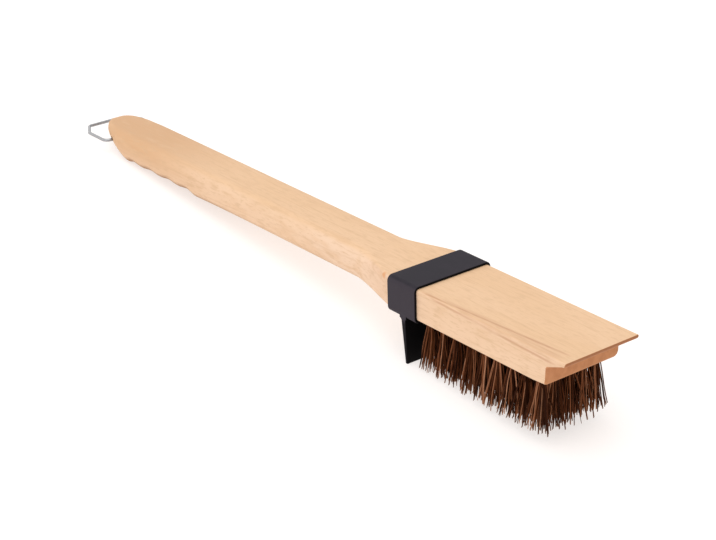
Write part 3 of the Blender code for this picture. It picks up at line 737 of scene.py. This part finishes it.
def from_curve(curve, place, material=None):
    """The mesh object of a curve, turned and moved to its place in the brush's frame."""
    mesh = curve_mesh(curve)
    mesh.transform(place)
    return in_brush(new_object(curve.name, mesh, material))


def combine(target, tool, operation):
    """Joins another mesh object to the target, or cuts it away, and removes it."""
    modifier = target.modifiers.new("combine", "BOOLEAN")
    modifier.operation = operation
    modifier.object = tool
    modifier.solver = "EXACT"
    mesh = evaluated_mesh(target)
    target.modifiers.clear()
    target.data = mesh
    bpy.data.objects.remove(tool)


def drill(working, centre, axis, radius, length, sides=DRILL_SIDES):
    """Adds a closed drill to a bmesh, centred on a point, along an axis."""
    turn = UP.rotation_difference(axis).to_matrix().to_4x4()
    place = Matrix.Translation(centre) @ turn
    bmesh.ops.create_cone(
        working, cap_ends=True, segments=sides, radius1=radius, radius2=radius, depth=length, matrix=place
    )


def smooth(made):
    made.data.shade_smooth()
    made.data.set_sharp_from_angle(angle=SHARP_ANGLE)
    weighted = made.modifiers.new("weighted", "WEIGHTED_NORMAL")
    weighted.keep_sharp = True


# The plank


def half_width(station):
    if station <= HEAD_LENGTH:
        return HEAD_WIDTH / 2
    if station <= NECK_END:
        left = max(1 - (station - HEAD_LENGTH) / NECK_LENGTH, 0)
        return mix(NECK_WIDTH, HEAD_WIDTH, left**NECK_HOLLOW_POWER) / 2
    if station <= NOSE_STATION:
        share = (station - NECK_END) / (NOSE_STATION - NECK_END)
        return mix(NECK_WIDTH, GRIP_WIDTH, share) / 2
    share = min((station - NOSE_STATION) / NOSE_LENGTH, 1)
    return max(GRIP_WIDTH / 2 * math.sqrt(1 - share * share), NOSE_TIP_LEAST)


def groove(station):
    """How far the finger grooves rise into the underside, with low ridges between them."""
    if station <= GROOVES_START or station >= GROOVES_END:
        return 0
    turns = (GROOVES_END - station) / GROOVE_PITCH
    between = 1 / 2 <= turns <= GROOVE_COUNT - 1 / 2
    ridge = GROOVE_RIDGE_SHARE if between else 0
    return GROOVE_DEPTH * mix(ridge, 1, (1 - math.cos(2 * math.pi * turns)) / 2)


def underside(station):
    """The depth of the plank's underside, behind the head's end."""
    along_grip = (station - NECK_END) / (GROOVES_START - NECK_END)
    swell = min(max(along_grip, 0), 1) ** GRIP_SWELL_POWER
    depth = mix(HEAD_THICKNESS, GRIP_THICKNESS, swell) - groove(station)
    share = 1 - min((WOOD_LENGTH - station) / NOSE_UNDERCUT_LENGTH, 1)
    return mix(depth, NOSE_TIP_DEPTH + NOSE_TIP_LEAST, share)


def crown(station):
    """The depth of the plank's top, 0 but for the rounded nose."""
    share = 1 - min((WOOD_LENGTH - station) / NOSE_CROWN_LENGTH, 1)
    return (NOSE_TIP_DEPTH - NOSE_TIP_LEAST) * (1 - math.sqrt(max(1 - share * share, 0)))


def lip_half_width(station):
    """Half the lip's width, a little less at its rounded tip corners."""
    left = max(1 - station / LIP_CORNER_ROUND, 0)
    return HEAD_WIDTH / 2 - LIP_CORNER_ROUND * (1 - math.sqrt(1 - left * left))


def lip_sections():
    """Station, top depth, underside depth and lower corner radius, along the lip and down the block's end."""
    sections = []
    for step in range(ARC_STEPS + 1):
        turn = math.pi / 2 * step / ARC_STEPS
        station = LIP_NOSE_RUN * (1 - math.cos(turn))
        top = max(LIP_ARRIS - station, 0)
        sections.append((station, top, mix(LIP_TIP_DEPTH, LIP_NOSE_DROP, math.sin(turn)), LIP_BOTTOM_ROUND))
    slope = math.atan2(LIP_ROOT - LIP_NOSE_DROP, LIP_OVERHANG - LIP_NOSE_RUN)
    centre_station = LIP_OVERHANG - LIP_FILLET
    run = centre_station - LIP_NOSE_RUN
    centre_depth = LIP_NOSE_DROP + run * math.tan(slope) + LIP_FILLET / math.cos(slope)
    for station, depth in arc((centre_station, centre_depth), LIP_FILLET, math.degrees(slope) - 90, 0):
        sections.append((station, 0, depth, LIP_BOTTOM_ROUND))
    centre = (LIP_OVERHANG + END_LEAN + END_ROUND, HEAD_THICKNESS - END_ROUND)
    for station, depth in arc(centre, END_ROUND, 180, 90):
        sections.append((station, 0, depth, END_CORNER_ROUND))
    return sections


def handle_section(station):
    change = ease((station - HEAD_LENGTH) / NECK_LENGTH)
    return rounded_section(
        half_width(station),
        -crown(station),
        -underside(station),
        mix(HEAD_TOP_ROUND, GRIP_TOP_ROUND, change),
        mix(HEAD_BOTTOM_ROUND, GRIP_BOTTOM_ROUND, change),
    )


def handle_stations():
    stations = [LIP_OVERHANG + END_LEAN + END_ROUND + END_CORNER_RUN, HEAD_LENGTH]
    stations += steps_between(HEAD_LENGTH, NECK_END, NECK_STEPS)
    stations += steps_between(NECK_END, GROOVES_START, GRIP_STEPS)
    stations += steps_between(GROOVES_START, GROOVES_END, GROOVES_STEPS)
    first = math.asin((GROOVES_END - NOSE_STATION) / NOSE_LENGTH)
    turns = steps_between(first, math.pi / 2, NOSE_STEPS)
    stations += [NOSE_STATION + NOSE_LENGTH * math.sin(turn) for turn in turns]
    return stations


def tuft_places():
    """The row, column, station and y of each tuft's hole, both counted from 1."""
    for row in range(TUFT_ROWS):
        for column in range(TUFT_COLUMNS):
            station = mix(FIRST_TUFT_STATION, LAST_TUFT_STATION, column / (TUFT_COLUMNS - 1))
            y = mix(-OUTER_TUFT_Y, OUTER_TUFT_Y, row / (TUFT_ROWS - 1))
            yield row + 1, column + 1, station, y


def make_plank(material):
    rings = []
    for station, top, bottom, corner in lip_sections():
        section = rounded_section(lip_half_width(station), -top, -bottom, HEAD_TOP_ROUND, corner)
        rings.append([(-station, y, z) for y, z in section])
    for station in handle_stations():
        rings.append([(-station, y, z) for y, z in handle_section(station)])
    plank = in_brush(new_object("timber_plank", loft("timber_plank", rings), material))

    drills = bmesh.new()
    length = TUFT_HOLE_DEPTH + OVERRUN
    for _, _, station, y in tuft_places():
        drill(drills, (-station, y, length / 2 - HEAD_THICKNESS - OVERRUN), UP, TUFT_HOLE_RADIUS, length)
    length = SCREW_SHANK_LENGTH + OVERRUN
    for side in (-1, 1):
        centre = (-SCREW_STATION, side * SCREW_Y, length / 2 - STRAP_DEPTH - OVERRUN)
        drill(drills, centre, UP, SCREW_SHANK_RADIUS + SCREW_CLEARANCE, length)
    centre = (-LOOP_HOLE_STATION, 0, -LOOP_HOLE_DEPTH)
    drill(drills, centre, ACROSS, LOOP_HOLE_RADIUS, GRIP_WIDTH + OVERRUN, LOOP_DRILL_SIDES)
    combine(plank, in_brush(new_object("holes", mesh_from("holes", drills))), "DIFFERENCE")
    smooth(plank)
    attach(plank, "brush")
    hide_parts("wood_handle")


# The collar


def scraper_outline():
    """The blade's side view as (x, z), from inside the sleeve down to its edge, with a fillet each side."""
    root = -STRAP_DEPTH
    inside = root + COLLAR_CORNER_ROUND
    front_top = -SCRAPER_STATION - SCRAPER_LEAN
    rear_top = front_top - SCRAPER_TOP_THICKNESS
    front_centre = (front_top + SCRAPER_FRONT_FILLET, root - SCRAPER_FRONT_FILLET)
    front = arc(front_centre, SCRAPER_FRONT_FILLET, 180, 90)
    rear_centre = (rear_top - SCRAPER_REAR_FILLET, root - SCRAPER_REAR_FILLET)
    rear = arc(rear_centre, SCRAPER_REAR_FILLET, 90, 0)
    points = [(-SCRAPER_STATION, -SCRAPER_REACH)] + front
    points += [(front[-1][0], inside), (rear[0][0], inside)] + rear
    points.append((-SCRAPER_STATION - SCRAPER_EDGE_THICKNESS, -SCRAPER_REACH))
    return points


def make_collar(material):
    """A sleeve and a blade joined, then bored for the head and for the screws."""
    outline_across = Matrix(((0, 0, 1, 0), (1, 0, 0, 0), (0, 1, 0, 0), (0, 0, 0, 1)))
    middle = Matrix.Translation((-COLLAR_STATION - COLLAR_LENGTH / 2, 0, 0)) @ outline_across
    outline_along = Matrix(((1, 0, 0, 0), (0, 0, -1, 0), (0, 1, 0, 0), (0, 0, 0, 1)))

    outer = rounded_section(
        COLLAR_HALF_WIDTH,
        COLLAR_CLEARANCE + COLLAR_TOP_WALL,
        -STRAP_DEPTH,
        COLLAR_CORNER_ROUND,
        COLLAR_CORNER_ROUND,
    )
    sleeve = flat_outline("collar_moulding", outer, COLLAR_LENGTH / 2, COLLAR_EDGE_ROUND, COLLAR_EDGE_STEPS)
    collar = from_curve(sleeve, middle, material)

    reach = COLLAR_HALF_WIDTH - SCRAPER_SIDE_INSET
    blade = flat_outline("blade", scraper_outline(), reach, SCRAPER_SIDE_ROUND, SCRAPER_EDGE_STEPS)
    combine(collar, from_curve(blade, outline_along), "UNION")

    inner = rounded_section(
        HEAD_WIDTH / 2 + COLLAR_CLEARANCE,
        COLLAR_CLEARANCE,
        -HEAD_THICKNESS - COLLAR_CLEARANCE,
        HEAD_TOP_ROUND + COLLAR_CLEARANCE,
        HEAD_BOTTOM_ROUND + COLLAR_CLEARANCE,
    )
    passage = flat_outline("passage", inner, COLLAR_LENGTH / 2 + OVERRUN, 0, 0)
    combine(collar, from_curve(passage, middle), "DIFFERENCE")

    drills = bmesh.new()
    for side in (-1, 1):
        centre = (-SCREW_STATION, side * SCREW_Y, -STRAP_DEPTH + COLLAR_BOTTOM_WALL / 2)
        drill(drills, centre, UP, SCREW_SHANK_RADIUS + SCREW_CLEARANCE, OVERRUN)
    combine(collar, in_brush(new_object("strap_holes", mesh_from("strap_holes", drills))), "DIFFERENCE")
    smooth(collar)
    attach(collar, "brush")
    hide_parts("scraper_collar")


# The screws


def make_screws(material):
    """Each screw, from its tip down to its crowned head with a cross recess, in a frame on its seat."""
    low = -SCREW_HEAD_HEIGHT
    profile = [
        (SCREW_TIP_RADIUS, SCREW_SHANK_LENGTH),
        (SCREW_SHANK_RADIUS, SCREW_SHANK_LENGTH - SCREW_TIP_LENGTH),
        (SCREW_SHANK_RADIUS, 0),
        (SCREW_HEAD_RADIUS, 0),
        (SCREW_HEAD_RADIUS, low + SCREW_HEAD_CROWN),
    ]
    for share in steps_between(0, 1, SCREW_CROWN_STEPS):
        radius = SCREW_HEAD_RADIUS - SCREW_HEAD_CROWN * share
        profile.append((radius, low + SCREW_HEAD_CROWN * (1 - share) ** 2))
    turns = [2 * math.pi * k / SCREW_SIDES for k in range(SCREW_SIDES)]
    rings = [[(r * math.cos(turn), r * math.sin(turn), z) for turn in turns] for r, z in profile]
    slot_size = Vector((SCREW_SLOT_LENGTH, SCREW_SLOT_WIDTH, SCREW_SLOT_DEPTH * 2, 1))
    for number, side in enumerate((-1, 1), 1):
        name = f"screw_{number}"
        screw = new_object(name, loft(name, rings), material)
        for turn in (0, 1):
            recess = bmesh.new()
            place = Matrix.Translation((0, 0, low)) @ Matrix.Rotation(turn * math.pi / 2, 4, "Z")
            bmesh.ops.create_cube(recess, size=1, matrix=place @ Matrix.Diagonal(slot_size))
            combine(screw, new_object("recess", mesh_from("recess", recess)), "DIFFERENCE")
        smooth(screw)
        in_brush(screw, Matrix.Translation((-SCREW_STATION, side * SCREW_Y, -STRAP_DEPTH - SCREW_CLEARANCE)))
        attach(screw, "brush")
        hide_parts(f"collar_screw_{number}")


# The bristles


def fibre_path(root, tip, bow, twist):
    """The fibre's middle line: straight out of its hole, then fanning to its tip with a slight bow."""
    mouth = -HEAD_THICKNESS
    points = [Vector((root.x, root.y, mouth + FIBRE_ROOT_IN_WOOD))]
    for step in range(FIBRE_STEPS):
        share = step / (FIBRE_STEPS - 1)
        fanned = share**FIBRE_FAN_POWER
        side = math.sin(math.pi * share)
        half_turn = math.sin(2 * math.pi * share) * twist
        points.append(Vector((
            mix(root.x, tip.x, fanned) + bow.x * side + bow.y * half_turn,
            mix(root.y, tip.y, fanned) + bow.y * side - bow.x * half_turn,
            mix(mouth, tip.z, share),
        )))
    return points


def add_fibre(chance, points, radius, verts, faces, tones, runs, tone):
    """A flattened, tapering tube along the path, closed by a slanted cut at its tip."""
    base = len(verts)
    turn = chance.uniform(0, math.pi)
    flat = chance.uniform(*FIBRE_FLATNESS)
    along = Vector((math.cos(turn), math.sin(turn), 0))
    across = Vector((-math.sin(turn), math.cos(turn), 0)) * flat
    last = len(points) - 1
    for step, point in enumerate(points):
        share = step / last
        width = radius * mix(1, FIBRE_TIP_SHARE, share**2)
        for k in range(FIBRE_SIDES):
            angle = 2 * math.pi * k / FIBRE_SIDES
            offset = (along * math.cos(angle) + across * math.sin(angle)) * width
            if step == last:
                offset.z += width * math.cos(angle)
            verts.append(point + offset)
            tones.append(tone)
            runs.append(share)
    for step in range(last):
        low = base + step * FIBRE_SIDES
        for k in range(FIBRE_SIDES):
            after = (k + 1) % FIBRE_SIDES
            faces.append((low + k, low + FIBRE_SIDES + k, low + FIBRE_SIDES + after, low + after))
    faces.append(tuple(base + k for k in range(FIBRE_SIDES)))
    faces.append(tuple(base + last * FIBRE_SIDES + k for k in reversed(range(FIBRE_SIDES))))


def tuft_fibres(chance, row, column, station, y):
    """Root and tip of each fibre of a tuft, whose tips share out the field evenly with its neighbours'."""
    cell_x = (FIELD_REAR_STATION - FIELD_FRONT_STATION) / TUFT_COLUMNS
    cell_y = 2 * FIELD_HALF_WIDTH / TUFT_ROWS
    middle_x = -(FIELD_FRONT_STATION + cell_x * (column - 0.5))
    middle_y = -FIELD_HALF_WIDTH + cell_y * (row - 0.5)
    longest = mix(BRISTLE_FRONT_REACH, BRISTLE_REACH, (column - 1) / (TUFT_COLUMNS - 1))
    golden = math.pi * (3 - math.sqrt(5))
    for k in range(FIBRES_PER_TUFT):
        reach = math.sqrt((k + 0.5) / FIBRES_PER_TUFT)
        angle = k * golden
        lean_x, lean_y = reach * math.cos(angle), reach * math.sin(angle)
        root = Vector((-station + lean_x * BUNDLE_RADIUS, y + lean_y * BUNDLE_RADIUS, 0))
        fan = FAN_SHARE + chance.gauss(0, FAN_SPREAD)
        tip = Vector((
            middle_x + lean_x * fan * cell_x + chance.gauss(0, TIP_WANDER),
            middle_y + lean_y * fan * cell_y + chance.gauss(0, TIP_WANDER),
            -longest + abs(chance.gauss(0, RAGGED_SPREAD)) * BRISTLE_RAGGED,
        ))
        yield root, tip


def make_tufts(material):
    chance = random.Random(FIBRE_SEED)
    for row, column, station, y in tuft_places():
        verts, faces, tones, runs = [], [], [], []
        tuft_tone = chance.gauss(0, TUFT_TONE_SPREAD)
        for root, tip in tuft_fibres(chance, row, column, station, y):
            tip.x = max(tip.x, FIBRE_BLADE_GAP - SCRAPER_STATION)
            tip.y = min(max(tip.y, -HEAD_WIDTH / 2), HEAD_WIDTH / 2)
            bow = Vector((chance.gauss(0, BOW_SPREAD), chance.gauss(0, BOW_SPREAD), 0))
            points = fibre_path(root, tip, bow, chance.gauss(0, TWIST_SPREAD))
            tone = min(max(chance.betavariate(*FIBRE_TONE_SHAPE) + tuft_tone, 0), 1)
            add_fibre(chance, points, chance.uniform(*FIBRE_RADIUS), verts, faces, tones, runs, tone)
        name = f"bristles_r{row}_c{column}"
        mesh = bpy.data.meshes.new(name)
        mesh.from_pydata(verts, [], faces)
        for attribute, values in (("tone", tones), ("along", runs)):
            mesh.attributes.new(attribute, "FLOAT", "POINT").data.foreach_set("value", values)
        mesh.shade_smooth()
        mesh.set_sharp_from_angle(angle=FIBRE_SHARP_ANGLE)
        tuft = in_brush(new_object(name, mesh, material))
        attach(tuft, "brush")
        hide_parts(f"tuft_r{row}_c{column}")


# The hanging loop


def make_loop(material):
    """The wire, bent in one plane in a frame on its hole's middle, and mirrored from the near half."""
    bend, corner = LOOP_BEND_RADIUS, LOOP_CORNER_RADIUS
    arm = half_width(LOOP_HOLE_STATION) + LOOP_ARM_CLEARANCE + WIRE_RADIUS
    lean = math.atan2(LOOP_SHOULDER_RISE, LOOP_SHOULDER_RUN)
    onto_shoulder = LOOP_SHOULDER_RUN - LOOP_REACH + corner * math.tan(lean / 2)
    off_shoulder = arm - LOOP_SHOULDER_RISE - corner * math.tan(math.pi / 4 - lean / 2)
    turn = 90 + math.degrees(lean)
    half = [(0, LOOP_END_IN_WOOD)]
    half += arc((-bend, arm - bend), bend, 0, 90)
    half += arc((onto_shoulder, arm - corner), corner, 90, turn)
    half += arc((corner - LOOP_REACH, off_shoulder), corner, turn, 180)
    curve = bpy.data.curves.new("wire_loop", "CURVE")
    curve.dimensions = "3D"
    curve.bevel_depth = WIRE_RADIUS
    curve.bevel_resolution = WIRE_STEPS
    curve.use_fill_caps = True
    add_line(curve, [(x, -y) for x, y in half] + half[::-1])
    wire = new_object("wire_loop", curve_mesh(curve), material)
    in_brush(wire, Matrix.Translation((-LOOP_HOLE_STATION, 0, -LOOP_HOLE_DEPTH)))
    smooth(wire)
    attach(wire, "hang_loop")
    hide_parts("hang_loop")


# The studio


def make_table(material):
    working = bmesh.new()
    bmesh.ops.create_grid(working, x_segments=TABLE_CUTS, y_segments=TABLE_CUTS, size=TABLE_HALF_SIZE)
    table = new_object("studio_floor", mesh_from("studio_floor", working), material)


def make_tent():
    world = bpy.data.worlds.new("studio")
    world.use_nodes = True
    tree = world.node_tree
    backdrop = tree.nodes["Background"]
    keys = {
        0: node(tree, "ShaderNodeTexCoord").outputs["Generated"],
        1: Vector(TENT_DIM_SIDE).normalized(),
    }
    facing = node(tree, "ShaderNodeVectorMath", keys, operation="DOT_PRODUCT").outputs["Value"]
    strength = ramp(tree, facing, TENT_DIM_SPAN, (TENT_STRENGTH, TENT_DIM_STRENGTH))
    plug(tree, backdrop.inputs["Color"], (1, 1, 1, 1))
    plug(tree, backdrop.inputs["Strength"], strength)
    bpy.context.scene.world = world


def make_softbox():
    lamp = bpy.data.lights.new("softbox", "AREA")
    lamp.shape = "SQUARE"
    lamp.size = SOFTBOX_SIZE
    lamp.energy = SOFTBOX_POWER
    lamp.color = SOFTBOX_COLOUR
    made = new_object("softbox", lamp)
    made.location = SOFTBOX_PLACE
    made.rotation_euler = (-Vector(SOFTBOX_PLACE)).to_track_quat("-Z", "Y").to_euler()


def make_camera():
    az, el, roll = CAMERA_AZIMUTH, CAMERA_ELEVATION, CAMERA_ROLL
    back = Vector((math.sin(az) * math.cos(el), -math.cos(az) * math.cos(el), math.sin(el)))
    level = Vector((math.cos(az), math.sin(az), 0))
    upright = back.cross(level)
    right = level * math.cos(roll) + upright * math.sin(roll)
    up = upright * math.cos(roll) - level * math.sin(roll)
    axes = Matrix((right, up, back)).transposed()
    lens = bpy.data.cameras.new("camera")
    lens.sensor_width = SENSOR_WIDTH
    lens.sensor_fit = "HORIZONTAL"
    lens.lens = SENSOR_WIDTH * FOCAL_PIXELS / IMAGE_WIDTH
    camera = in_brush(new_object("camera", lens), Matrix.Translation(axes @ CAMERA_OFFSET) @ axes.to_4x4())
    bpy.context.scene.camera = camera


make_camera()
make_tent()
make_softbox()
make_table(table_material())
make_plank(wood_material())
make_collar(plastic_material())
make_screws(steel_material("zinc_screw", ZINC, ZINC_ROUGHNESS))
make_tufts(fibre_material())
make_loop(steel_material("plated_wire", PLATING, PLATING_ROUGHNESS))
bpy.context.scene.view_settings.view_transform = "Standard"

bpy.context.view_layer.update()
